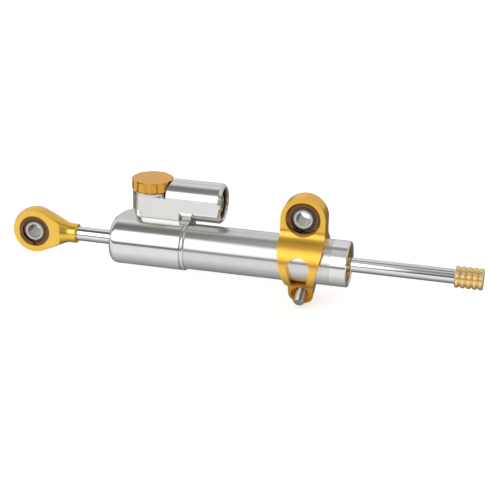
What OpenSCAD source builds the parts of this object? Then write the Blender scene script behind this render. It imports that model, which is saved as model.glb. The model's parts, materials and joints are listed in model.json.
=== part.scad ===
// Hydraulic steering damper with a through rod. X runs along the damper from the
// rod eye to the stop collar, Z points up along the adjuster, and the origin is the
// centre of the clamp's spherical bearing. Everything is in millimetres.

/* [Body] */
// Length from the head's outer face to the end sleeve's outer face
body_len = 133.8; // [128:0.2:170]
// From the middle of the clamp to the end sleeve's outer face
clamp_to_end = 25.9; // [24:0.1:40]
// Outside diameter of the outer tube
tube_d = 25.4; // [24.8:0.1:26]
// Wall of the outer tube
tube_wall = 1.5; // [1.3:0.05:1.6]
// Bore that the piston runs in
bore_d = 18; // [17:0.1:18.2]
// Wall of the inner tube
liner_wall = 1; // [0.8:0.05:1.1]
// Radial clearance of parts that run in each other
run_gap = 0.04; // [0.02:0.01:0.08]
// Gap between parts of different moving groups that don't run together
free_gap = 0.3; // [0.2:0.05:0.4]

/* [Head] */
// Length of the head
head_len = 43.5; // [42:0.2:50]
// Diameter of the head's barrel
head_d = 27.4; // [27:0.1:30]
// Diameter of the turned shoulder that carries the canister
crest_d = 35.8; // [34:0.1:37]
// Lean of the milled flat on the shoulder, from the vertical
flat_lean = 75; // [70:0.5:80]
// Radius of the rounding at the shoulder's outer end
dome_r = 18; // [16:0.5:20]
// Radius of the rounding round the head's outer face
face_round = 4; // [3:0.1:4.4]
// Width of the bead at the head's inner end
bead_w = 2.4; // [2.2:0.1:4]
// Thread length of the outer tube in the head
tube_in_head = 12; // [10:0.5:13]

/* [Canister] */
// Height of the canister's axis above the tube's axis
can_rise = 23.2; // [23:0.1:26]
// Offset of the canister's axis behind the tube's axis
can_back = 10.2; // [9.6:0.1:11]
// Outside diameter of the canister
can_d = 22.4; // [21.6:0.1:23]
// Bore of the canister
can_bore_d = 17; // [16:0.1:17.4]
// Half width of the flats milled on the canister and its web
web_half = 10.5; // [10.3:0.05:10.8]
// From the adjuster's axis to the canister's open end
can_reach = 41.3; // [40:0.2:48]
// From the adjuster's axis to the end of the web
web_reach = 18; // [16:0.5:22]
// Length of the canister plug
plug_len = 7; // [6:0.5:9]
// Length of the floating piston
float_len = 8; // [7:0.5:9]

/* [Adjuster] */
// From the head's outer face to the adjuster's axis
adj_in = 19.4; // [19:0.1:22]
// Height of the seat that the adjuster stands on, above the tube's axis
seat_rise = 26.4; // [25.8:0.1:27]
// Diameter of the post under the knob
post_d = 22.2; // [21.7:0.1:22.4]
// Diameter of the knob
knob_d = 23.5; // [22.6:0.1:24]
// Height of the knob
knob_h = 5.6; // [5.2:0.1:6.4]
// Number of finger scallops round the knob
scallops = 10; // [8:1:12]
// Depth of a scallop
scallop_depth = 0.8; // [0.6:0.1:1.2]
// Thickness of the gland's flange under the knob
flange_t = 1.9; // [1.6:0.1:2.2]
// Number of click positions in a whole turn
clicks = 24; // [12:12:24]
// Diameter of the adjuster spindle
spindle_d = 6; // [5.6:0.1:6.2]
// Diameter of the detent ball
detent_d = 2.5; // [2.3:0.1:2.6]

/* [Rod] */
// Diameter of the piston rod
rod_d = 8; // [7.6:0.1:8]
// From the head's outer face to the centre of the rod eye
eye_out = 46.1; // [44:0.1:60]
// From the end sleeve's face to the stop collar
collar_out = 57; // [40:0.5:60]
// Length of the stop collar
collar_len = 15.2; // [13:0.1:18]
// Diameter of the stop collar
collar_d = 11.8; // [11.6:0.1:13]
// Grooves round the stop collar
collar_grooves = 4; // [3:1:4]
// Spacing of the grooves
groove_pitch = 3.2; // [3:0.1:3.4]
// Length of the piston
piston_len = 12; // [10:0.5:13]
// From the middle of the clamp to the middle of the piston
piston_back = 22; // [20:0.5:24]

/* [Rod eye] */
// Outside diameter of the eye
eye_d = 25.9; // [24.6:0.1:27]
// Thickness of the eye between its two faced sides
eye_t = 8.8; // [8.6:0.1:9.6]
// Radius of the facing cuts, about the bearing's axis
facing_r = 16; // [15:0.5:18]
// Diameter of the round neck
neck_d = 10.9; // [9.8:0.1:12]
// From the eye's centre to the end of the neck
neck_reach = 24.9; // [24:0.1:28]
// Slope of the eye's flanks to the rod
flank_slope = 24.7; // [22:0.1:27]
// Radius of the fillet from the flanks to the neck
flank_fillet = 8; // [6:0.5:10]
// Radius of the chamfered mouth of the eye's bearing seat
eye_mouth = 9.1; // [8.8:0.1:9.3]

/* [Spherical bearings] */
// Bore of the ball, which takes the fixing bolt
ball_bore_d = 8; // [6:0.1:8]
// Diameter of the ball
ball_d = 13; // [12.8:0.1:13.2]
// Width of the ball
ball_w = 8; // [7.6:0.1:8]
// Outside diameter of the race
race_d = 16; // [15.6:0.1:16.2]
// Width of the race
race_w = 5; // [4.8:0.1:5.2]
// Length of the ball's collar at the back
collar_back = 6; // [4:0.5:6]

/* [Clamp] */
// Height of the bearing above the tube's axis
lug_rise = 24.5; // [23.6:0.1:27]
// Thickness of the lug that holds the bearing
lug_t = 10; // [9.6:0.1:11]
// Radius of the chamfered mouth of the lug's bearing seat
lug_mouth = 9.7; // [9:0.1:9.8]
// Width of the clamp along the tube
clamp_w = 24.8; // [24:0.2:26]
// Thickness of the strap round the tube
strap_t = 2.7; // [2.4:0.1:3]
// Radius of the cove between the lug and the strap
cove_r = 7; // [5:0.5:8]
// Lean of the clamping ears from the vertical
ear_lean = 24; // [20:1:28]
// Width of the clamping ears along the tube
ear_w = 13.8; // [13.6:0.1:16]
// Distance of the clamping bolt from the tube's axis
bolt_drop = 16.8; // [16.4:0.1:17.4]
// Diameter of the clamping bolt
bolt_d = 6; // [5:0.5:6]
// Length of the clamping bolt under its head
bolt_len = 27; // [25:0.5:28]
// Reach of the front ear from the split
front_ear = 11; // [10.4:0.1:11.4]
// Reach of the rear ear from the split
rear_ear = 9; // [8.5:0.1:9.5]
// Width of the split
split = 1.8; // [1.2:0.1:2.2]

/* [Hidden] */
$fn = 96;
eps = 0.01;
cut = 1;

// Places along X
body_r = clamp_to_end;
body_l = body_r - body_len;
head_r = body_l + head_len;
adj_x = body_l + adj_in;
can_r = adj_x + can_reach;
eye_x = body_l - eye_out;
neck_x = eye_x + neck_reach;
collar_x = body_r + collar_out;

// Sizes of the tubes
tube_r = tube_d / 2;
tube_in_r = tube_r - tube_wall;
bore_r = bore_d / 2;
liner_r = bore_r + liner_wall;
thread_r = tube_r - 0.5;
tube_l = head_r - tube_in_head;

// End sleeve, which screws over the outer tube's reduced end
sleeve_len = 9;
sleeve_x = body_r - sleeve_len;
spigot_r = tube_in_r + 0.7;
spigot_len = 6;
lip_len = sleeve_len - spigot_len;
lip_r = tube_in_r - 0.6;
rim_chamfer = 0.6;

// Glands
gland_len = 12;
face_set = 1.4;
right_set = 0.5;
gland_r_x = body_r - right_set;
gland_r_len = 11;
gland_l_x = body_l + face_set;
gland_body_r = liner_r;
rod_r = rod_d / 2;
bush_r = rod_r + 1;
seal_r = rod_r + 2;
seal_len = 2.6;
wiper_len = 2.2;
lip_wall = 0.8;
ring_cs = 1.2;
circlip_t = 1;

// Head
head_rad = head_d / 2;
crest_r = crest_d / 2;
bead_round = 1;
bead_gap = 0.3;
seat_z = seat_rise;
web_x = adj_x + web_reach;
can_rad = can_d / 2;
can_bore_r = can_bore_d / 2;
post_r = post_d / 2;
pocket_r = knob_d / 2 + 0.6;
can_in = adj_x + 9;
passage_d = 2.6;
mouth_chamfer = 1.6;
pocket_x = adj_x + 10.3;

// Adjuster
valve_r = spindle_d / 2 + 1;
gland_thread_r = spindle_d / 2 + 3;
gland_depth = 8;
gland_ring_up = 3.1;
spindle_ring = 2.8;
ring_half = 0.6;
valve_floor = seat_z - 14;
flange_top = seat_z + flange_t;
knob_z = flange_top + free_gap;
detent_at = knob_d / 2 - 3.4;
detent_sink = 0.4;
detent_z = flange_top - detent_sink + detent_d / 2;
spring_wire = 0.3;
spring_d = detent_d - 0.5;
spring_turns = 3;
spring_room = knob_h - 1.4;
knob_bore = knob_h - 2;

// Canister
rim_set = 2.6;
plug_x = can_r - rim_set;
float_x = can_in + 11;
plug_ring = 3.6;
groove_half = 0.8;
float_groove = 2.6;
float_groove_w = 2;

// Bearings
seat_shoulder = 0.9;
snap_t = 1;
snap_w = 1.3;
housing_r = race_d / 2;
ball_gap = 0.03;

// Clamp
strap_r = tube_r + strap_t;
clamp_r = clamp_w / 2;
recess_d = 11;

// Places the tube's axis below the origin
module on_axis() translate([0, 0, -lug_rise]) children();

// A solid turned about the tube's axis from points of [radius, x]
module turned(points) rotate([0, 90, 0]) rotate_extrude() polygon(points);

// A plain round bar or bore along X from one place to another
module x_bar(x0, x1, r) translate([x0, 0, 0]) rotate([0, 90, 0]) cylinder(h = x1 - x0, r = r);

// A ring of round section about X
module x_ring(x, r, cs) translate([x, 0, 0]) rotate([0, 90, 0]) rotate_extrude()
    translate([r, 0]) circle(r = cs / 2, $fn = 24);

// Moves things to the canister's axis
module at_canister() translate([0, can_back, can_rise]) children();

// Moves things to the adjuster's axis, with Z from the tube's axis
module at_adjuster() translate([adj_x, can_back, 0]) children();

// An inward circlip about X, with its gap and two eyelets at the top
module inner_circlip(x, r_out, r_in, t, eyelets) {
    eye_r = (r_out - r_in) * 0.62;
    gap_half = 2.2;
    eye_at = r_in - eye_r * 0.35;
    difference() {
        union() {
            difference() {
                x_bar(x, x + t, r_out);
                x_bar(x - cut, x + t + cut, r_in);
                translate([x - cut, -gap_half, 0]) cube([t + 2 * cut, 2 * gap_half, r_out + cut]);
            }
            if (eyelets) for (s = [-1, 1]) translate([0, s * (gap_half + eye_r * 0.5), eye_at])
                x_bar(x, x + t, eye_r);
        }
        if (eyelets) for (s = [-1, 1]) translate([0, s * (gap_half + eye_r * 0.5), eye_at])
            x_bar(x - cut, x + t + cut, eye_r * 0.45);
    }
}

// Points of an arc about [r, x], with the angle from the outward face direction to the rim
function arc(r, x, rad, a0, a1, n) = [for (i = [0:n]) let (a = a0 + (a1 - a0) * i / n)
    [r + rad * sin(a), x - rad * cos(a)]];

// The head's inner end: a small notch, then a rounded bead of the same radius
function bead_points(r) = concat(
    [[r, head_r - bead_w - bead_gap], [r - bead_round, head_r - bead_w - bead_gap]],
    arc(r - bead_round, head_r - bead_w + bead_round, bead_round, 0, 90, 6),
    arc(r - bead_round, head_r - bead_round, bead_round, 90, 180, 6),
    [[0, head_r]]
);

module head_barrel() turned(concat([[0, body_l]],
    arc(head_rad - face_round, body_l + face_round, face_round, 0, 90, 12), bead_points(head_rad)));

// The shoulder is turned to a larger radius, domed at its outer end and milled flat in front. The
// rounding of the head's face runs out into the dome along a cone
module head_shoulder() {
    dome_mid = crest_r - dome_r;
    dome_x = body_l + 1 + sqrt(pow(dome_r, 2) - pow(head_rad - 1 - dome_mid, 2));
    lead = 50;
    lead_r = head_rad - face_round + face_round * sin(lead);
    lead_x = body_l + face_round - face_round * cos(lead);
    reach = dome_x - lead_x + (lead_r - dome_mid) * tan(lead);
    dome_a = lead + acos(min(1, reach * cos(lead) / dome_r));
    intersection() {
        turned(concat([[0, lead_x], [lead_r, lead_x]], arc(dome_mid, dome_x, dome_r, dome_a, 90, 12),
            bead_points(crest_r)));
        // Below the flat and behind the line where it runs out into the barrel
        rotate([90 - flat_lean, 0, 0]) translate([body_l, 0, -crest_r])
            cube([head_len, 2 * crest_r, crest_r + head_rad]);
        translate([body_l, -crest_r, 0]) cube([head_len, crest_r + head_rad, crest_r]);
    }
}

// The block between the shoulder and the canister, with a round end under the knob
module head_web() {
    lift = 7;
    difference() {
        union() {
            at_adjuster() translate([0, 0, lift]) cylinder(h = seat_z - lift, r = post_r);
            translate([adj_x, can_back - web_half, lift])
                cube([web_reach, 2 * web_half, can_rise - lift]);
            at_canister() x_bar(adj_x, can_r, can_rad);
        }
        for (s = [0, 1]) translate([body_l, can_back, 0]) mirror([0, s, 0])
            translate([0, web_half, 0]) cube([body_len, post_r, 2 * can_rise]);
        at_adjuster() translate([0, 0, seat_z]) cylinder(h = can_rise, r = pocket_r);
        translate([adj_x - can_rad, can_back - can_d, seat_z])
            cube([pocket_x - adj_x + can_rad, 2 * can_d, can_rise]);
        // Slope under the overhang at the back
        translate([body_l, head_rad, lift - cut]) rotate([-45, 0, 0])
            translate([0, 0, -2 * can_rad]) cube([body_len, 2 * can_rad, 2 * can_rad]);
        // Chamfer round the canister's mouth
        at_canister() turned([
            [can_rad - mouth_chamfer, can_r + eps], [can_rad + 1, can_r + eps],
            [can_rad + 1, can_r - mouth_chamfer], [can_rad, can_r - mouth_chamfer],
        ]);
    }
}

module head_bores() {
    // Cylinder bore, circlip groove, annular passage and the outer tube's thread
    x_bar(body_l - cut, head_r + cut, liner_r + eps);
    x_bar(body_l + face_set - circlip_t - 0.05, body_l + face_set + 0.05, liner_r + 1);
    x_bar(tube_l - 3, head_r + cut, tube_in_r);
    x_bar(tube_l - 0.1, head_r + cut, thread_r + eps);
    turned([[0, body_l - eps], [liner_r + 0.5, body_l - eps], [0, body_l + liner_r + 0.5]]);
    // Canister bore, its circlip groove and mouth
    at_canister() {
        x_bar(can_in, can_r + cut, can_bore_r);
        x_bar(plug_x, plug_x + circlip_t + 0.1, can_bore_r + 0.9);
        turned([
            [can_bore_r - cut, can_r + eps], [can_bore_r + 0.8, can_r + eps],
            [can_bore_r - cut, can_r - 1.8],
        ]);
    }
    // Adjuster bore
    at_adjuster() {
        translate([0, 0, seat_z - gland_depth]) cylinder(h = gland_depth + cut, r = gland_thread_r + eps);
        translate([0, 0, valve_floor]) cylinder(h = seat_z - valve_floor, r = valve_r + run_gap);
    }
    // Oil ways from the adjuster to the cylinder, to the canister and on to the annulus
    translate([adj_x, can_back, valve_floor + 1]) rotate([-atan2(can_back, valve_floor + 1), 0, 0])
        mirror([0, 0, 1]) cylinder(h = valve_floor - 2, d = passage_d);
    translate([0, can_back, seat_z - gland_depth - 2.6]) x_bar(adj_x, can_in + 3, passage_d / 2);
    translate([tube_l - 1.5, can_back, can_rise - 6]) rotate([-atan2(can_back, can_rise - 6), 0, 0])
        mirror([0, 0, 1]) cylinder(h = can_rise - liner_r, d = passage_d);
}

module head_body() color("silver") on_axis() difference() {
    union() {
        head_barrel();
        head_shoulder();
        head_web();
    }
    head_bores();
}

module outer_tube() color("lightgray") on_axis() difference() {
    turned([
        [0, tube_l], [thread_r, tube_l], [thread_r, head_r], [tube_r, head_r],
        [tube_r, sleeve_x], [spigot_r, sleeve_x], [spigot_r, sleeve_x + spigot_len], [0, sleeve_x + spigot_len],
    ]);
    x_bar(tube_l - cut, body_r, tube_in_r);
}

// Ports near both ends let the oil out of the bore
module inner_tube() color("lightgray") on_axis() {
    x0 = gland_l_x + gland_len;
    x1 = gland_r_x - gland_r_len;
    difference() {
        x_bar(x0, x1, liner_r);
        x_bar(x0 - cut, x1 + cut, bore_r);
        translate([adj_x, 0, 0]) rotate([-atan2(can_back, valve_floor + 1), 0, 0])
            cylinder(h = liner_r + cut, d = passage_d);
        for (a = [0:90:270]) translate([x1 - 4.5, 0, 0]) rotate([a + 45, 0, 0])
            cylinder(h = liner_r + cut, d = 2);
    }
}

module end_sleeve() color("silver") on_axis() turned([
    [spigot_r + eps, sleeve_x], [tube_r, sleeve_x], [tube_r, body_r - rim_chamfer],
    [tube_r - rim_chamfer, body_r], [lip_r + rim_chamfer, body_r], [lip_r, body_r - rim_chamfer],
    [lip_r, sleeve_x + spigot_len], [spigot_r + eps, sleeve_x + spigot_len],
]);

// A gland is turned with its outer face at x = 0 and its length towards +x; front_r is the
// radius of its outer end, which the end sleeve's lip or the circlip bears on
module gland_shape(len, front_r, front_len, body_rad, dish) difference() {
    turned([
        [rod_r + 0.4, len], [rod_r + 0.4, wiper_len + lip_wall],
        [rod_r + 0.4, wiper_len], [seal_r + 0.3, wiper_len], [seal_r + 0.3, dish * 1.2],
        [seal_r + 1, dish], [front_r - 1.2, 0], [front_r, 0], [front_r, front_len],
        [body_rad, front_len], [body_rad, len],
    ]);
    // Seal groove, bush seat and O-ring groove
    x_bar(wiper_len + lip_wall, wiper_len + lip_wall + seal_len, seal_r);
    x_bar(bush_x, len - lip_wall, bush_r);
    turned([
        [body_rad - ring_cs, len - 3.5], [body_rad + cut, len - 3.5],
        [body_rad + cut, len - 1.9], [body_rad - ring_cs, len - 1.9],
    ]);
}

module at_left() translate([gland_l_x, 0, 0]) children();
module at_right() translate([gland_r_x, 0, 0]) mirror([1, 0, 0]) children();

module gland_left() color("silver") on_axis() at_left()
    gland_shape(gland_len, gland_body_r - 0.02, 2, gland_body_r - 0.02, 0.3);
module gland_right() color("goldenrod") on_axis() at_right()
    gland_shape(gland_r_len, lip_r - 0.05, gland_r_x - sleeve_x - spigot_len, tube_in_r - 0.02, 1.2);

module gland_ring(body_rad, x) x_ring(x, body_rad - ring_cs / 2 - 0.02, ring_cs - 0.02);
module gland_o_ring_left() color("dimgray") on_axis() at_left()
    gland_ring(gland_body_r, gland_len - 2.7);
module gland_o_ring_right() color("dimgray") on_axis() at_right()
    gland_ring(tube_in_r, gland_r_len - 2.7);

bush_x = wiper_len + 2 * lip_wall + seal_len;
module bush(x1) difference() {
    x_bar(bush_x, x1, bush_r - eps);
    x_bar(0, gland_len + cut, rod_r + run_gap);
}
module rod_bush_left() color("peru") on_axis() at_left() bush(gland_len - lip_wall);
module rod_bush_right() color("peru") on_axis() at_right() bush(gland_r_len - lip_wall);

module rod_seal() turned([
    [rod_r + run_gap, wiper_len + lip_wall + 0.1], [seal_r - eps, wiper_len + lip_wall + 0.1],
    [seal_r - eps, wiper_len + lip_wall + seal_len - 0.1],
    [seal_r - 0.6, wiper_len + lip_wall + seal_len - 0.1],
    [rod_r + 1, wiper_len + lip_wall + seal_len - 0.9],
    [rod_r + run_gap, wiper_len + lip_wall + seal_len - 0.1],
]);
module rod_seal_left() color("dimgray") on_axis() at_left() rod_seal();
module rod_seal_right() color("dimgray") on_axis() at_right() rod_seal();

module rod_wiper(dish) turned([
    [rod_r + run_gap, dish], [rod_r + 0.5, dish - 0.2], [rod_r + 1.1, dish + 0.7],
    [seal_r + 0.3 - eps, dish * 1.2 + 0.5], [seal_r + 0.3 - eps, wiper_len - eps],
    [rod_r + 0.6, wiper_len - eps], [rod_r + run_gap, wiper_len - 0.7],
]);
module rod_wiper_left() color("dimgray") on_axis() at_left() rod_wiper(0.3);
module rod_wiper_right() color("dimgray") on_axis() at_right() rod_wiper(0.9);

module gland_circlip() color("dimgray") on_axis()
    inner_circlip(gland_l_x - circlip_t, liner_r + 0.9, liner_r - 1.4, circlip_t - 0.02, true);

// Canister
module canister_plug() color("goldenrod") on_axis() at_canister() difference() {
    turned([
        [1.5, plug_x - plug_len], [can_bore_r - 0.02, plug_x - plug_len],
        [can_bore_r - 0.02, plug_x - 0.02], [can_bore_r - 2.6, plug_x - 0.02],
        [can_bore_r - 3.4, plug_x + 0.8], [3.4, plug_x + 0.8], [2.9, plug_x + 0.3],
        [1.5, plug_x + 0.3],
    ]);
    turned([
        [can_bore_r - ring_cs - 0.05, plug_x - plug_ring - groove_half],
        [can_bore_r + cut, plug_x - plug_ring - groove_half],
        [can_bore_r + cut, plug_x - plug_ring + groove_half],
        [can_bore_r - ring_cs - 0.05, plug_x - plug_ring + groove_half],
    ]);
}
module plug_o_ring() color("dimgray") on_axis() at_canister()
    x_ring(plug_x - plug_ring, can_bore_r - ring_cs / 2 - 0.02, ring_cs - 0.02);
module canister_circlip() color("dimgray") on_axis() at_canister()
    inner_circlip(plug_x + 0.04, can_bore_r + 0.8, can_bore_r - 1.2, circlip_t, true);
module fill_screw() color("silver") on_axis() at_canister() difference() {
    union() {
        x_bar(plug_x - plug_len + 1, plug_x + 0.5, 1.48);
        turned([[0, plug_x + 0.3 + eps], [2.7, plug_x + 0.3 + eps], [2.7, plug_x + 1.2],
            [2.3, plug_x + 1.6], [0, plug_x + 1.6]]);
    }
    translate([plug_x + 0.6, 0, 0]) rotate([0, 90, 0]) cylinder(h = 2, d = 2.3, $fn = 6);
}
module floating_piston() color("silver") on_axis() at_canister() difference() {
    x_bar(float_x, float_x + float_len, can_bore_r - run_gap);
    x_bar(float_x + 2.5, float_x + float_len + cut, can_bore_r - 2.6);
    turned([
        [can_bore_r - 1.5, float_x + float_groove], [can_bore_r + cut, float_x + float_groove],
        [can_bore_r + cut, float_x + float_groove + float_groove_w],
        [can_bore_r - 1.5, float_x + float_groove + float_groove_w],
    ]);
}
module floating_piston_ring() color("dimgray") on_axis() at_canister() difference() {
    x_bar(float_x + float_groove + 0.05, float_x + float_groove + float_groove_w - 0.05,
        can_bore_r - run_gap / 2);
    x_bar(float_x, float_x + float_len, can_bore_r - 1.5 + eps);
}

// Adjuster. The gland screws into the post, and its flange carries the click dimples
module adjuster_gland() color("silver") on_axis() at_adjuster() difference() {
    union() {
        translate([0, 0, seat_z - gland_depth + 0.1])
            cylinder(h = gland_depth, r = gland_thread_r);
        translate([0, 0, seat_z + eps]) cylinder(h = flange_t - 0.5 - eps, r = post_r);
        translate([0, 0, flange_top - 0.5]) cylinder(h = 0.5, r1 = post_r, r2 = post_r - 0.5);
    }
    cylinder(h = flange_top + cut, r = spindle_d / 2 + run_gap);
    translate([0, 0, seat_z - gland_depth + gland_ring_up - 0.7]) rotate_extrude() polygon([
        [gland_thread_r - 1, 0], [gland_thread_r + cut, 0], [gland_thread_r + cut, 1.4],
        [gland_thread_r - 1, 1.4],
    ]);
    for (i = [0:clicks - 1]) rotate([0, 0, -90 + i * 360 / clicks])
        translate([detent_at, 0, detent_z]) sphere(d = detent_d + 0.1, $fn = 32);
}
module adjuster_gland_o_ring() color("dimgray") on_axis() at_adjuster()
    translate([0, 0, seat_z - gland_depth + gland_ring_up]) rotate_extrude()
        translate([gland_thread_r - 0.5, 0]) circle(r = 0.48, $fn = 24);

// The spindle ends in a rotary valve with metering holes of rising size
module adjuster_spindle() color("silver") on_axis() at_adjuster() difference() {
    top = knob_z + knob_bore - 0.1;
    collar_top = seat_z - gland_depth - free_gap + 0.1;
    rotate_extrude() polygon([
        [0, valve_floor + 0.4], [valve_r, valve_floor + 0.4], [valve_r, collar_top],
        [spindle_d / 2, collar_top], [spindle_d / 2, seat_z - spindle_ring - ring_half],
        [spindle_d / 2 - 0.9, seat_z - spindle_ring - ring_half],
        [spindle_d / 2 - 0.9, seat_z - spindle_ring + ring_half],
        [spindle_d / 2, seat_z - spindle_ring + ring_half], [spindle_d / 2, top], [0, top],
    ]);
    cylinder(h = collar_top - 1.4, r = valve_r - 1.1);
    for (i = [0:7]) rotate([0, 0, 90 + i * 22.5]) translate([0, 0, valve_floor + 2.6])
        rotate([0, 90, 0]) cylinder(h = valve_r + cut, d = 0.5 + i * 0.1, $fn = 24);
}
module spindle_o_ring() color("dimgray") on_axis() at_adjuster()
    translate([0, 0, seat_z - spindle_ring]) rotate_extrude()
        translate([spindle_d / 2 - 0.45, 0]) circle(r = 0.44, $fn = 24);

module adjuster_knob() color("goldenrod") on_axis() at_adjuster() {
    kr = knob_d / 2;
    scallop_r = 4.4;
    difference() {
        translate([0, 0, knob_z]) rotate_extrude() polygon([
            [0, 0], [kr - 0.4, 0], [kr, 0.4], [kr, knob_h - 0.5], [kr - 0.5, knob_h], [0, knob_h],
        ]);
        for (i = [0:scallops - 1]) rotate([0, 0, (i + 0.5) * 360 / scallops])
            translate([kr + scallop_r - scallop_depth, 0, knob_z - cut])
                cylinder(h = knob_h + 2 * cut, r = scallop_r);
        cylinder(h = knob_z + knob_bore, r = spindle_d / 2 + eps);
        rotate([0, 0, -90]) translate([detent_at, 0, knob_z - cut])
            cylinder(h = cut + spring_room, r = detent_d / 2 + run_gap);
        translate([0, 0, knob_z + 2]) rotate([-90, 0, 0]) cylinder(h = kr + cut, d = 3.02);
    }
}
module grub_screw(len, d) difference() {
    cylinder(h = len, d = d);
    translate([0, 0, len - 1.2]) cylinder(h = 2, d = d / 2, $fn = 6);
}
module knob_grub_screw() color("dimgray") on_axis() at_adjuster()
    translate([0, 0, knob_z + 2]) rotate([-90, 0, 0])
        translate([0, 0, spindle_d / 2 + 0.02]) grub_screw(5, 3);

module detent_ball() color("silver") on_axis() at_adjuster() rotate([0, 0, -90])
    translate([detent_at, 0, detent_z]) sphere(d = detent_d, $fn = 48);

// The click spring is one unbroken tube, from the ball up to the knob's pocket
spring_z0 = detent_z + detent_d / 2 + 0.02;
spring_h = knob_z + spring_room - spring_z0 - 0.02;
function spring_at(t, r) = [r * cos(360 * spring_turns * t), r * sin(360 * spring_turns * t),
    spring_wire / 2 + (spring_h - spring_wire) * t];
spring_rings = spring_turns * 12 + 1;
spring_pts = [for (i = [0:spring_rings - 1]) let (t = i / (spring_rings - 1), a = 360 * spring_turns * t)
    for (k = [0:5]) let (b = 60 * k, r = (spring_d - spring_wire) / 2 + spring_wire / 2 * cos(b))
        spring_at(t, r) + [0, 0, spring_wire / 2 * sin(b)]];
spring_faces = concat(
    [[0, 1, 2], [0, 2, 3], [0, 3, 4], [0, 4, 5]],
    [for (i = [0:spring_rings - 2]) for (k = [0:5]) let (a = 6 * i + k, b = 6 * i + (k + 1) % 6)
        each [[a, a + 6, b + 6], [a, b + 6, b]]],
    let (e = 6 * (spring_rings - 1)) [[e, e + 2, e + 1], [e, e + 3, e + 2], [e, e + 4, e + 3], [e, e + 5, e + 4]]
);
module detent_spring() color("silver") on_axis() at_adjuster() rotate([0, 0, -90])
    translate([detent_at, 0, spring_z0]) polyhedron(spring_pts, spring_faces);

// Piston, held on the rod between two circlips that let the rod turn in it
piston_x = -piston_back;
piston_l = piston_x - piston_len / 2;
piston_rr = piston_x + piston_len / 2;
module piston() color("silver") on_axis() difference() {
    turned([
        [rod_r + run_gap, piston_l], [bore_r - 0.8, piston_l], [bore_r - 0.15, piston_l + 0.6],
        [bore_r - 0.15, piston_rr - 0.6], [bore_r - 0.8, piston_rr], [rod_r + run_gap, piston_rr],
    ]);
    turned([
        [bore_r - 1.4, piston_x - 2.5], [bore_r + cut, piston_x - 2.5],
        [bore_r + cut, piston_x + 2.5], [bore_r - 1.4, piston_x + 2.5],
    ]);
}
module piston_ring() color("sienna") on_axis() difference() {
    x_bar(piston_x - 2.48, piston_x + 2.48, bore_r - run_gap);
    x_bar(piston_l, piston_rr, bore_r - 1.4 + eps);
}
clip_gap = 0.1;
module piston_circlips() color("dimgray") on_axis() for (s = [0, 1]) translate([piston_x, 0, 0])
    mirror([s, 0, 0]) difference() {
        x_bar(piston_len / 2 + clip_gap, piston_len / 2 + clip_gap + circlip_t - 0.02, rod_r + 1.8);
        x_bar(0, piston_len, rod_r - 0.5 + eps);
        translate([0, -1.6, -rod_r - 3]) cube([piston_len, 3.2, rod_r + 3]);
    }

rod_l = eye_x + housing_r + 3.4;
rod_step = neck_x - 2.5;
stud_r = 3;
rod_r_end = collar_x + collar_len - 1;
module piston_rod() color("silver") on_axis() difference() {
    turned([
        [0, rod_l], [stud_r - 0.5, rod_l], [stud_r, rod_l + 0.5], [stud_r, rod_step],
        [rod_r, rod_step], [rod_r, rod_r_end - 0.6],
        [rod_r - 0.6, rod_r_end], [0, rod_r_end],
    ]);
    for (s = [0, 1]) translate([piston_x, 0, 0]) mirror([s, 0, 0]) turned([
        [rod_r - 0.5, piston_len / 2 + clip_gap - 0.02], [rod_r + cut, piston_len / 2 + clip_gap - 0.02],
        [rod_r + cut, piston_len / 2 + clip_gap + circlip_t], [rod_r - 0.5, piston_len / 2 + clip_gap + circlip_t],
    ]);
}

// Seat for a bearing about Y, cut from a lug of thickness t that is centred on y = 0: a through
// bore with a shoulder at the back, a snap ring groove and a chamfered mouth in front
module bearing_seat(t, mouth) rotate([90, 0, 0]) {
    wide = housing_r + run_gap / 2;
    narrow = housing_r - seat_shoulder;
    translate([0, 0, -race_w / 2 - 0.02]) cylinder(h = t, r = wide);
    translate([0, 0, -t]) cylinder(h = 2 * t, r = narrow);
    translate([0, 0, race_w / 2 + 0.04]) cylinder(h = snap_t + 0.08, r = housing_r + 0.5);
    translate([0, 0, t / 2 - mouth + wide]) cylinder(h = mouth - wide + eps, r1 = wide, r2 = mouth + eps);
    mirror([0, 0, 1]) translate([0, 0, t / 2 - 0.8]) cylinder(h = 0.8 + eps, r1 = narrow, r2 = narrow + 0.8);
}
module bearing_race() rotate([90, 0, 0]) difference() {
    rotate_extrude() polygon([
        [ball_d / 2 - 1.5, -race_w / 2], [housing_r - 0.3, -race_w / 2], [housing_r, -race_w / 2 + 0.3],
        [housing_r, race_w / 2 - 0.3], [housing_r - 0.3, race_w / 2], [ball_d / 2 - 1.5, race_w / 2],
    ]);
    sphere(d = ball_d + 2 * ball_gap);
}
module bearing_ball() rotate([90, 0, 0]) difference() {
    intersection() {
        sphere(d = ball_d);
        cylinder(h = ball_w, r = ball_d, center = true);
    }
    cylinder(h = 2 * ball_w, d = ball_bore_d, center = true);
}
// Collar that lengthens the ball's inner ring at the back, with a slightly wider bore
module ball_collar() rotate([-90, 0, 0]) translate([0, 0, ball_w / 2 - eps]) difference() {
    cylinder(h = collar_back, d = ball_bore_d + 2.2);
    translate([0, 0, -cut]) cylinder(h = collar_back + 2 * cut, d = ball_bore_d + 0.8);
}
module bearing_snap_ring() rotate([90, 0, 0]) translate([0, 0, race_w / 2 + 0.08]) difference() {
    cylinder(h = snap_t, r = housing_r + 0.4);
    translate([0, 0, -cut]) cylinder(h = snap_t + 2 * cut, r = housing_r + 0.4 - snap_w);
    translate([-1, -housing_r - 1, -cut]) cube([2, housing_r, snap_t + 2 * cut]);
}

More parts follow.
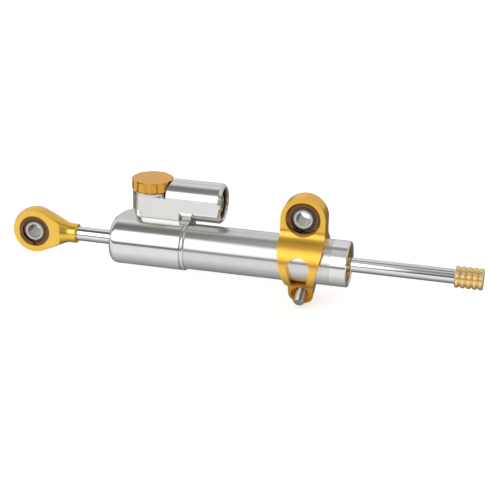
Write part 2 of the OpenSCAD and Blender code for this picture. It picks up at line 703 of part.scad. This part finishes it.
// Rod eye, turned about the rod from a ball, a cone and a neck, then faced flat on both sides by a
// cutter that turns about the bearing's axis
function eye_points() = let (
    er = eye_d / 2, nr = neck_d / 2,
    // Where the flank's line would meet the neck, and the fillet's length from there
    meet = (er - nr * cos(flank_slope)) / sin(flank_slope),
    foot = flank_fillet * tan(flank_slope / 2)
) concat(
    [for (i = [0:24]) let (a = (90 + flank_slope) * i / 24) [er * sin(a), -er * cos(a)]],
    [for (i = [0:8]) let (a = flank_slope * (1 - i / 8))
        [nr + flank_fillet * (1 - cos(a)), meet + foot - flank_fillet * sin(a)]],
    [[nr, neck_reach - 0.6], [nr - 0.6, neck_reach], [0, neck_reach]]
);
module rod_eye() color("goldenrod") on_axis() translate([eye_x, 0, 0]) difference() {
    turned(eye_points());
    for (s = [0, 1]) mirror([0, s, 0]) translate([0, eye_t / 2, 0]) rotate([-90, 0, 0])
        cylinder(h = eye_d, r = facing_r);
    bearing_seat(eye_t, eye_mouth);
    x_bar(rod_l - eye_x - 0.5, neck_reach + cut, stud_r + eps);
    x_bar(neck_reach - 2.5 - eps, neck_reach + cut, rod_r + eps);
    turned([[0, neck_reach + eps], [rod_r + 0.6, neck_reach + eps], [0, neck_reach - rod_r - 0.6]]);
}
module at_eye() on_axis() translate([eye_x, 0, 0]) children();
module eye_race() color("silver") at_eye() bearing_race();
module eye_ball() color("gray") at_eye() {
    bearing_ball();
    ball_collar();
}
module eye_snap_ring() color("dimgray") at_eye() bearing_snap_ring();

// Stop collar with V grooves, held by a grub screw at the back
module stop_collar() color("goldenrod") on_axis() difference() {
    cr = collar_d / 2;
    turned([
        [0, collar_x], [cr - 0.5, collar_x], [cr, collar_x + 0.5],
        [cr, collar_x + collar_len - 0.6], [cr - 0.6, collar_x + collar_len], [0, collar_x + collar_len],
    ]);
    for (i = [0:collar_grooves - 1]) let (gx = collar_x + collar_len / 2
            + (i - (collar_grooves - 1) / 2) * groove_pitch)
        turned([[cr - 0.9, gx], [cr + eps, gx - 0.9], [cr + cut, gx - 0.9],
            [cr + cut, gx + 0.9], [cr + eps, gx + 0.9]]);
    x_bar(collar_x - cut, collar_x + collar_len + cut, rod_r + eps);
    translate([collar_x + collar_len / 2, 0, 0]) rotate([-90, 0, 0]) cylinder(h = cr + cut, d = 3.02);
}
module collar_grub_screw() color("dimgray") on_axis() translate([collar_x + collar_len / 2, 0, 0])
    rotate([-90, 0, 0]) translate([0, 0, rod_r + 0.02]) grub_screw(1.9, 3);

// Clamp. The ears stand on a frame that leans back under the tube
module ear_frame() rotate([ear_lean, 0, 0]) mirror([0, 1, 0]) children();

module clamp_lug() rotate([90, 0, 0]) linear_extrude(lug_t, center = true) {
    circle(r = clamp_r);
    translate([-clamp_r, -lug_rise]) square([clamp_w, lug_rise]);
}
// Filler between the lug and the strap, hollowed by the cove on both faces
module clamp_cove() {
    reach = sqrt(pow(strap_r + cove_r, 2) - pow(lug_t / 2 + cove_r, 2));
    half = strap_r * (lug_t / 2 + cove_r) / (strap_r + cove_r);
    difference() {
        translate([-clamp_r, -half, 0.1]) cube([clamp_w, 2 * half, reach - 0.1]);
        for (s = [-1, 1]) translate([0, s * (lug_t / 2 + cove_r), reach])
            x_bar(-clamp_r - cut, clamp_r + cut, cove_r);
    }
}
// Side outline of the strap, which narrows downwards from above the tube's axis to the ears
module strap_outline() {
    top = strap_r + lug_rise;
    low = ear_w / 2;
    polygon([
        [-clamp_r, top], [clamp_r, top], [clamp_r, 9.5], [clamp_r - 0.6, 6], [clamp_r - 1.9, 0],
        [clamp_r - 3.4, -7], [clamp_r - 4.6, -12], [low, -strap_r], [low, -strap_r - 9],
        [-low, -strap_r - 9], [-low, -strap_r], [-clamp_r + 4.6, -12], [-clamp_r + 3.4, -7],
        [-clamp_r + 1.9, 0], [-clamp_r + 0.6, 6], [-clamp_r, 9.5],
    ]);
}
// Window in front of the tube, an arch that tapers downwards
module strap_window() {
    wide = 6.3;
    rotate([90, 0, 0]) linear_extrude(strap_r + cut) {
        translate([0, -0.3]) circle(r = wide);
        polygon([[-wide, -0.3], [wide, -0.3], [4.1, -11.6], [-4.1, -11.6]]);
    }
}
module clamp_body() color("goldenrod") {
    difference() {
        union() {
            clamp_lug();
            on_axis() {
                clamp_cove();
                intersection() {
                    x_bar(-clamp_r, clamp_r, strap_r);
                    rotate([90, 0, 0]) linear_extrude(4 * strap_r, center = true) strap_outline();
                }
                ear_frame() translate([0, 0, -bolt_drop]) rotate([-90, 0, 0])
                    translate([0, 0, -rear_ear]) {
                        cylinder(h = rear_ear + front_ear, r = ear_w / 2);
                        translate([-ear_w / 2, -bolt_drop + 4, 0])
                            cube([ear_w, bolt_drop - 4, rear_ear + front_ear]);
                    }
            }
        }
        on_axis() {
            x_bar(-clamp_w, clamp_w, tube_r + run_gap);
            strap_window();
            ear_frame() {
                translate([-ear_w, -split / 2, -2 * strap_r]) cube([2 * ear_w, split, 2 * strap_r]);
                translate([0, -rear_ear - cut, -bolt_drop]) rotate([-90, 0, 0]) {
                    cylinder(h = rear_ear + front_ear + 2 * cut, d = bolt_d + 0.04);
                    translate([0, 0, rear_ear + cut + 6]) cylinder(h = front_ear, d = recess_d);
                    translate([0, 0, -bolt_len]) cylinder(h = bolt_len + cut, r = bolt_d + free_gap);
                }
            }
        }
        bearing_seat(lug_t, lug_mouth);
    }
}
module at_bolt() on_axis() ear_frame() translate([0, 0, -bolt_drop]) rotate([-90, 0, 0]) children();

// Socket head screw; the thread is drawn as rings where it shows
module clamp_bolt() color("silver") at_bolt() {
    br = bolt_d / 2;
    pitch = 0.8;
    seat = -rear_ear - 1;
    tip = seat + bolt_len;
    rings = 11;
    head_h = bolt_d;
    difference() {
        rotate_extrude() polygon(concat(
            [[0, tip], [br - 0.7, tip]],
            [for (i = [0:rings - 1]) each [
                [br, tip - 0.7 - i * pitch], [br, tip - 0.7 - i * pitch - 0.15],
                [br - 0.3, tip - 0.7 - (i + 0.5) * pitch - 0.1]]],
            [[br, tip - 0.7 - rings * pitch], [br, seat], [1.7 * br, seat],
                [1.7 * br, seat - head_h + 0.4], [1.7 * br - 0.4, seat - head_h], [0, seat - head_h]]
        ));
        translate([0, 0, seat - head_h - cut]) cylinder(h = cut + 2.6, d = 4.6, $fn = 6);
    }
}
module clamp_washer() color("lightgray") at_bolt() translate([0, 0, -rear_ear - 1 + eps]) difference() {
    cylinder(h = 1 - 2 * eps, r = bolt_d);
    translate([0, 0, -cut]) cylinder(h = 3 * cut, d = bolt_d + 0.3);
}
module clamp_race() color("silver") bearing_race();
module clamp_ball() color("gray") {
    bearing_ball();
    ball_collar();
}
module clamp_snap_ring() color("dimgray") bearing_snap_ring();

head_body();
outer_tube();
inner_tube();
end_sleeve();
gland_left();
gland_right();
gland_o_ring_left();
gland_o_ring_right();
rod_bush_left();
rod_bush_right();
rod_seal_left();
rod_seal_right();
rod_wiper_left();
rod_wiper_right();
gland_circlip();
canister_plug();
plug_o_ring();
canister_circlip();
fill_screw();
floating_piston();
floating_piston_ring();
adjuster_gland();
adjuster_gland_o_ring();
adjuster_spindle();
spindle_o_ring();
adjuster_knob();
knob_grub_screw();
detent_ball();
detent_spring();
piston();
piston_ring();
piston_circlips();
piston_rod();
rod_eye();
eye_race();
eye_ball();
eye_snap_ring();
stop_collar();
collar_grub_screw();
clamp_body();
clamp_bolt();
clamp_washer();
clamp_race();
clamp_ball();
clamp_snap_ring();
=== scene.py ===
import json
import math

import bpy
from mathutils import Matrix, Vector


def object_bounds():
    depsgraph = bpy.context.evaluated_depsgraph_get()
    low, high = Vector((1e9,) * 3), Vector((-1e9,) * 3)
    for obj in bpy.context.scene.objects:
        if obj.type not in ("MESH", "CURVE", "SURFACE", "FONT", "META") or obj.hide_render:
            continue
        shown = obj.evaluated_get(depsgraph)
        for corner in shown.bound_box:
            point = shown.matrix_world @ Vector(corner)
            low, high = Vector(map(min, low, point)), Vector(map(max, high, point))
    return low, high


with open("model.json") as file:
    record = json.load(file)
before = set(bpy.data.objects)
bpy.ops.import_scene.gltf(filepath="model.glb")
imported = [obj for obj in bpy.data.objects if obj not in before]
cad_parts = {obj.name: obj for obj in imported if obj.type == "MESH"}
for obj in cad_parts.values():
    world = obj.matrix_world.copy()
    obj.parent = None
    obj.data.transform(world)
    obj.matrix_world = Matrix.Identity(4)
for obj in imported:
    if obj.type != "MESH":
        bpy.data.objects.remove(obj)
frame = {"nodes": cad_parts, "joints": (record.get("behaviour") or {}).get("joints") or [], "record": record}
cad_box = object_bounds()

MM = 0.001
JOINT_AT = {joint["name"]: joint.get("pos_m") for joint in frame["joints"]}
EYE_CENTRE = JOINT_AT["eye_race_turn"]
CLAMP_CENTRE = JOINT_AT["clamp_race_turn"]
TUBE_Z = EYE_CENTRE[2]

# The camera, fitted to points measured along the tube in a square picture
PICTURE_PX = 500
SENSOR = 36.0                       # mm across the picture
AZIMUTH, ELEVATION, ROLL = 13.0, 22.0, 1.56
DISTANCE = 0.824                    # metres to the target
FOCAL_PX = 1500.0
TARGET_X = -0.02975                 # a point on the tube's axis
TARGET_PX = (250.0, 253.0)          # and its place in the picture

# The light tent, as (degrees above the front, level). The left set is seen in the head and the tube,
# the middle set in the clamp and the end sleeve, and the right set in the long end of the rod
LEFT_BANDS = [
    (-180, 0.7), (-10, 0.5), (-7, 0.05), (4, 0.05), (8, 1.5), (30, 1.9), (55, 1.9), (62, 0.25),
    (72, 0.12), (88, 0.1), (97, 0.3), (109, 0.8), (118, 0.9), (130, 0.66), (158, 0.86), (180, 0.7)]
MIDDLE_BANDS = [
    (-180, 0.7), (-14, 0.6), (-11, 0.08), (0, 0.08), (6, 1.4), (24, 2.9), (44, 2.7), (53, 0.6),
    (59, 0.56), (66, 0.62), (84, 0.68), (92, 0.3), (102, 0.26), (112, 0.9), (180, 0.7)]
RIGHT_BANDS = [
    (-180, 0.7), (-26, 0.6), (-18, 0.1), (3, 0.1), (14, 0.2), (29, 0.6), (44, 0.2), (60, 0.4),
    (76, 0.75), (92, 0.15), (99, 0.2), (112, 0.8), (130, 0.66), (180, 0.66)]
MIDDLE_FROM = (-0.215, -0.185)      # X of the direction where the middle set fades in
RIGHT_FROM = (-0.14, -0.1)          # and the right set

# The table, in metres. What the metal mirrors of it changes with the place along Y, with a painted shadow
# under and behind the tube
TABLE_HALF = 3.0
TABLE_GAP = 0.0005
TABLE_GLOW = 0.56
# Painted shadow in what the metal mirrors of the table: dim under and behind the tube
PAINTED_SHADOW_UNDER_TUBE = ((-0.045, 0.01), (0.95, 0.14))     # bright in front, dim under and behind the tube
MIRRORED_FRONT = ((-0.34, -0.2), (0.05, 1.0))       # and dark far out in front

# The finish of the metal and the rubber. Scales are in features per metre
CLOUD_SCALE = 160.0                 # slight changes of tone
CLOUD_DARKEST = 0.96
GRAIN_SCALE = 900.0                 # blasting, and the roughness with it
ROUGHNESS_SWING = 0.06
MARKS_SCALE = 5200.0                # tool marks
EDGE_BREAK = 0.12 * MM
# Painted shade: the brown that darkens the chamfer round a bearing's bore
MOUTH_SHADE_BROWN = "8A6434"
MOUTH_FADE = (-0.15 * MM, 0.1 * MM)
NOISE_SPAN = (0.3, 0.7)             # nearly all that a noise gives
RUBBER_SCALE = 1200.0
RUBBER_DEPTH = 0.02 * MM
RUBBER_ROUGHNESS = (0.45, 0.65)


def linear(hex_colour):
    """A hex sRGB colour as linear RGBA."""
    out = []
    for i in (0, 2, 4):
        c = int(hex_colour[i:i + 2], 16) / 255
        out.append(c / 12.92 if c <= 0.04045 else ((c + 0.055) / 1.055) ** 2.4)
    return (*out, 1.0)


def add(tree, kind, inputs=None, **settings):
    """Adds a node, sets its properties and links or fills its inputs."""
    node = tree.nodes.new(kind)
    for key, value in settings.items():
        setattr(node, key, value)
    for key, value in (inputs or {}).items():
        socket = node.inputs[key]
        if isinstance(value, bpy.types.NodeSocket):
            tree.links.new(value, socket)
        else:
            socket.default_value = value
    return node


def remap(tree, value, old, new, **settings):
    """A value's range old, as (from, to), turned into the range new."""
    node = add(tree, "ShaderNodeMapRange", {
        "Value": value, "From Min": old[0], "From Max": old[1], "To Min": new[0], "To Max": new[1]},
        **settings)
    return node.outputs[0]


def new_material(name):
    """A material with an empty tree, and the tree."""
    mat = bpy.data.materials.new(name)
    mat.use_nodes = True
    mat.node_tree.nodes.clear()
    return mat, mat.node_tree


# Camera


def place_camera():
    """The photograph's view."""
    azimuth, elevation, roll = (math.radians(v) for v in (AZIMUTH, ELEVATION, ROLL))
    target = Vector((TARGET_X, 0, TUBE_Z))
    back = Vector((math.sin(azimuth) * math.cos(elevation),
                   -math.cos(azimuth) * math.cos(elevation), math.sin(elevation)))
    side = Vector((math.cos(azimuth), math.sin(azimuth), 0))
    up = back.cross(side)
    right = math.cos(roll) * side + math.sin(roll) * up
    top = -math.sin(roll) * side + math.cos(roll) * up
    across = (TARGET_PX[0] - PICTURE_PX / 2) / FOCAL_PX
    above = (PICTURE_PX / 2 - TARGET_PX[1]) / FOCAL_PX
    place = target - DISTANCE * (right * across + top * above - back)
    data = bpy.data.cameras.new("camera")
    data.sensor_width = SENSOR
    data.lens = FOCAL_PX / PICTURE_PX * SENSOR
    data.clip_start, data.clip_end = 0.01, 20
    camera = bpy.data.objects.new("camera", data)
    camera.matrix_world = Matrix((
        (right.x, top.x, back.x, place.x), (right.y, top.y, back.y, place.y),
        (right.z, top.z, back.z, place.z), (0, 0, 0, 1)))
    bpy.context.scene.collection.objects.link(camera)
    bpy.context.scene.camera = camera


# Studio


def add_bands(tree, turn, bands):
    """A ramp over the turn round the damper."""
    ramp = add(tree, "ShaderNodeValToRGB", {"Fac": turn})
    points = ramp.color_ramp.elements
    while len(points) < len(bands):
        points.new(0.5)
    for point, (degrees, level) in zip(points, bands):
        point.position = (degrees + 180) / 360
        point.color = (level, level, level, 1)
    return ramp.outputs["Color"]


def studio_world():
    """A light tent in bands round the damper's axis: a softbox in front, a darker roof and a pale
    back. Rays from the camera see plain white."""
    world = bpy.data.worlds.new("studio")
    world.use_nodes = True
    bpy.context.scene.world = world
    tree = world.node_tree
    tree.nodes.clear()
    coords = add(tree, "ShaderNodeTexCoord")
    parts = add(tree, "ShaderNodeSeparateXYZ", {"Vector": coords.outputs["Generated"]})
    front = add(tree, "ShaderNodeMath", {0: parts.outputs["Y"], 1: -1.0}, operation="MULTIPLY")
    angle = add(tree, "ShaderNodeMath", {0: parts.outputs["Z"], 1: front.outputs[0]},
                operation="ARCTAN2")
    turn = remap(tree, angle.outputs[0], (-math.pi, math.pi), (0.0, 1.0))
    bands = add_bands(tree, turn, LEFT_BANDS)
    for levels, fade in ((MIDDLE_BANDS, MIDDLE_FROM), (RIGHT_BANDS, RIGHT_FROM)):
        side = remap(tree, parts.outputs["X"], fade, (0.0, 1.0))
        bands = add(tree, "ShaderNodeMix", {0: side, 6: bands, 7: add_bands(tree, turn, levels)},
                    data_type="RGBA").outputs[2]
    paths = add(tree, "ShaderNodeLightPath")
    tent = add(tree, "ShaderNodeBackground", {"Color": bands, "Strength": 1.0})
    white = add(tree, "ShaderNodeBackground", {"Color": (1, 1, 1, 1), "Strength": 1.0})
    mix = add(tree, "ShaderNodeMixShader", {
        0: paths.outputs["Is Camera Ray"], 1: tent.outputs[0], 2: white.outputs[0]})
    add(tree, "ShaderNodeOutputWorld", {"Surface": mix.outputs[0]})


def studio_floor():
    """A white table with a faint shadow. The metal mirrors a darker one, with a painted shadow under and
    behind the tube.
    """
    mat, tree = new_material("white_table")
    matte = add(tree, "ShaderNodeBsdfDiffuse", {"Color": (0.9, 0.9, 0.9, 1)})
    glow = add(tree, "ShaderNodeEmission", {"Color": (1, 1, 1, 1), "Strength": TABLE_GLOW})
    seen = add(tree, "ShaderNodeAddShader", {0: matte.outputs[0], 1: glow.outputs[0]})
    # Painted shadow: the glow that the metal mirrors is dimmed under and behind the tube, and darker far out
    # in front
    position = add(tree, "ShaderNodeNewGeometry").outputs["Position"]
    depth = add(tree, "ShaderNodeSeparateXYZ", {"Vector": position}).outputs["Y"]
    under = remap(tree, depth, *PAINTED_SHADOW_UNDER_TUBE, interpolation_type="SMOOTHSTEP")
    front = remap(tree, depth, *MIRRORED_FRONT)
    level = add(tree, "ShaderNodeMath", {0: under, 1: front}, operation="MULTIPLY")
    mirrored_painted_shadow = add(tree, "ShaderNodeEmission", {"Color": (1, 1, 1, 1), "Strength": level.outputs[0]})
    paths = add(tree, "ShaderNodeLightPath")
    mix = add(tree, "ShaderNodeMixShader", {
        0: paths.outputs["Is Glossy Ray"], 1: seen.outputs[0], 2: mirrored_painted_shadow.outputs[0]})
    add(tree, "ShaderNodeOutputMaterial", {"Surface": mix.outputs[0]})
    half, z = TABLE_HALF, cad_box[0][2] - TABLE_GAP
    mesh = bpy.data.meshes.new("table")
    mesh.from_pydata([(-half, -half, z), (half, -half, z), (half, half, z), (-half, half, z)], [],
                     [(0, 1, 2, 3)])
    mesh.materials.append(mat)
    table = bpy.data.objects.new("table", mesh)
    bpy.context.scene.collection.objects.link(table)


# Materials


def painted_mouth_shade(tree, coords, tone, centre, reach):
    """Painted shade: the tone, turned brown within reach millimetres of a bearing's axis along Y, where the
    chamfer round the bore lies in shade.
    """
    away = add(tree, "ShaderNodeVectorMath", {0: coords, 1: centre}, operation="SUBTRACT")
    flat = add(tree, "ShaderNodeVectorMath", {0: away.outputs[0], 1: (1, 0, 1)},
               operation="MULTIPLY")
    ring = add(tree, "ShaderNodeVectorMath", {0: flat.outputs[0]}, operation="LENGTH")
    edge = [reach * MM + fade for fade in MOUTH_FADE]
    near = remap(tree, ring.outputs["Value"], edge, (1.0, 0.0))
    return add(tree, "ShaderNodeMix", {0: near, 6: tone, 7: linear(MOUTH_SHADE_BROWN)},
               data_type="RGBA").outputs[2]


def bumped(tree, height, depth, normal):
    """The normal with a bump of a depth in millimetres."""
    return add(tree, "ShaderNodeBump", {
        "Height": height, "Distance": depth * MM, "Strength": 1.0, "Normal": normal}).outputs[0]


def metal(name, colour, rough, lines=None, line_depth=0.0, grain=0.0, metallic=1.0, mouth=None):
    """Machined metal. lines is the axis that the tool marks are turned about, X, Y or Z, and grain
    is the depth of a blasted surface, both in millimetres deep. mouth is a bearing's centre and the
    radius of its chamfer, which is darkened to brown as painted shade. The edges are broken by a small
    radius."""
    mat, tree = new_material(name)
    coords = add(tree, "ShaderNodeTexCoord").outputs["Object"]
    cloud = add(tree, "ShaderNodeTexNoise", {
        "Vector": coords, "Scale": CLOUD_SCALE, "Detail": 3.0, "Roughness": 0.55})
    tint = remap(tree, cloud.outputs["Fac"], NOISE_SPAN, (CLOUD_DARKEST, 1.0))
    tone = add(tree, "ShaderNodeMix", {0: 1.0, 6: linear(colour), 7: tint},
               data_type="RGBA", blend_type="MULTIPLY").outputs[2]
    # Painted shade: the chamfer round a bearing's bore is darkened to brown
    if mouth:
        tone = painted_mouth_shade(tree, coords, tone, *mouth)
    normal = add(tree, "ShaderNodeBevel", {"Radius": EDGE_BREAK}, samples=4).outputs[0]
    fine = add(tree, "ShaderNodeTexNoise", {
        "Vector": coords, "Scale": GRAIN_SCALE, "Detail": 2.0})
    roughness = remap(tree, fine.outputs["Fac"], NOISE_SPAN,
                      (rough * (1 - ROUGHNESS_SWING), rough * (1 + ROUGHNESS_SWING)))
    if lines:
        along = add(tree, "ShaderNodeSeparateXYZ", {"Vector": coords})
        turns = add(tree, "ShaderNodeMath", {0: along.outputs[lines], 1: MARKS_SCALE},
                    operation="MULTIPLY")
        marks = add(tree, "ShaderNodeTexNoise", {"W": turns.outputs[0], "Scale": 1.0, "Detail": 3.0},
                    noise_dimensions="1D")
        normal = bumped(tree, marks.outputs["Fac"], line_depth, normal)
    if grain:
        normal = bumped(tree, fine.outputs["Fac"], grain, normal)
    surface = add(tree, "ShaderNodeBsdfPrincipled", {
        "Base Color": tone, "Metallic": metallic, "Roughness": roughness, "Normal": normal})
    add(tree, "ShaderNodeOutputMaterial", {"Surface": surface.outputs[0]})
    return mat


def rubber(name, colour):
    """Moulded rubber or filled plastic with a fine grain."""
    mat, tree = new_material(name)
    coords = add(tree, "ShaderNodeTexCoord").outputs["Object"]
    fine = add(tree, "ShaderNodeTexNoise", {
        "Vector": coords, "Scale": RUBBER_SCALE, "Detail": 3.0})
    bump = add(tree, "ShaderNodeBump", {
        "Height": fine.outputs["Fac"], "Distance": RUBBER_DEPTH, "Strength": 1.0})
    shade = remap(tree, fine.outputs["Fac"], (0.0, 1.0), RUBBER_ROUGHNESS)
    surface = add(tree, "ShaderNodeBsdfPrincipled", {
        "Base Color": linear(colour), "Roughness": shade, "Normal": bump.outputs[0]})
    add(tree, "ShaderNodeOutputMaterial", {"Surface": surface.outputs[0]})
    return mat


SLOTS = {
    # Clear anodised and polished aluminium
    "head_aluminium": metal("polished_aluminium_head", "E6E6E4", 0.13, grain=0.001, metallic=0.85),
    "tube_aluminium": metal("satin_aluminium_tube", "DCDCDA", 0.20, "X", 0.004, metallic=0.85),
    "sleeve_aluminium": metal("polished_aluminium_sleeve", "EAEAE8", 0.12, "X", 0.001, metallic=0.9),
    "gland_aluminium": metal("machined_aluminium", "D0D0CE", 0.30, "X", 0.004),
    "adjuster_ring_aluminium": metal("turned_aluminium_ring", "DCDCDA", 0.18, "Z", 0.002),
    "liner_steel": metal("honed_steel", "BCBCBA", 0.20, "X", 0.002),
    # Gold anodised aluminium
    "guide_gold": metal("gold_anodised_guide", "F0B848", 0.22),
    "plug_gold": metal("gold_anodised_plug", "F2BC55", 0.25),
    "knob_gold": metal("gold_anodised_knob", "EDAE48", 0.30, metallic=0.92),
    # The eye and the clamp get painted shade, brown in the chamfer round the bearing's bore
    "eye_gold": metal("gold_anodised_eye", "FFCE5A", 0.30, metallic=0.92, mouth=(EYE_CENTRE, 8.75)),
    "collar_gold": metal("gold_anodised_collar", "FFE0A0", 0.26, "X", 0.001, metallic=0.9),
    "clamp_gold": metal("gold_anodised_clamp", "FFC850", 0.30, metallic=0.92,
                        mouth=(CLAMP_CENTRE, 9.55)),
    # Steels and bronze
    "rod_chrome": metal("hard_chromed_rod", "E8E9EA", 0.05, grain=0.0005),
    "race_steel": metal("ground_bearing_steel", "5E4A3C", 0.28, "Y", 0.001),
    "ball_steel": metal("bearing_ball_steel", "C6C2BC", 0.20, "Y", 0.0005, metallic=0.7),
    "ring_steel": metal("snap_ring_steel", "7C5C40", 0.25, grain=0.001),
    "dark_spring_steel": metal("phosphated_spring_steel", "3A3836", 0.45, grain=0.003),
    "spring_steel": metal("drawn_wire_steel", "A8A6A2", 0.25, grain=0.001),
    "bearing_steel": metal("polished_ball_steel", "D4D4D4", 0.08, grain=0.001),
    "stainless_screw": metal("stainless_screw_steel", "C8C6C2", 0.25, grain=0.001),
    "dark_screw": metal("black_oxide_steel", "4C4A48", 0.40, grain=0.003),
    "bolt_steel": metal("stainless_bolt_steel", "C2C0BC", 0.22, grain=0.001),
    "bush_bronze": metal("sintered_bronze", "A8794A", 0.40, grain=0.003),
    # Rubbers and filled plastic
    "nitrile": rubber("nitrile_rubber", "1A1A1A"),
    "wiper_rubber": rubber("wiper_rubber", "1E1E1E"),
    "ptfe": rubber("bronze_filled_ring", "5C4230"),
}


def dress_nodes():
    """Puts each node's material on it, by its slot in the record."""
    slots = {part["node"]: part["material_slot"] for part in frame["record"]["subparts"]}
    for name, obj in frame["nodes"].items():
        mat = SLOTS[slots[name]]
        if not obj.material_slots:
            obj.data.materials.append(mat)
        for slot in obj.material_slots:
            slot.material = mat


place_camera()
studio_world()
studio_floor()
dress_nodes()

bpy.context.scene.view_settings.view_transform = "Standard"
bpy.context.scene.view_settings.look = "None"
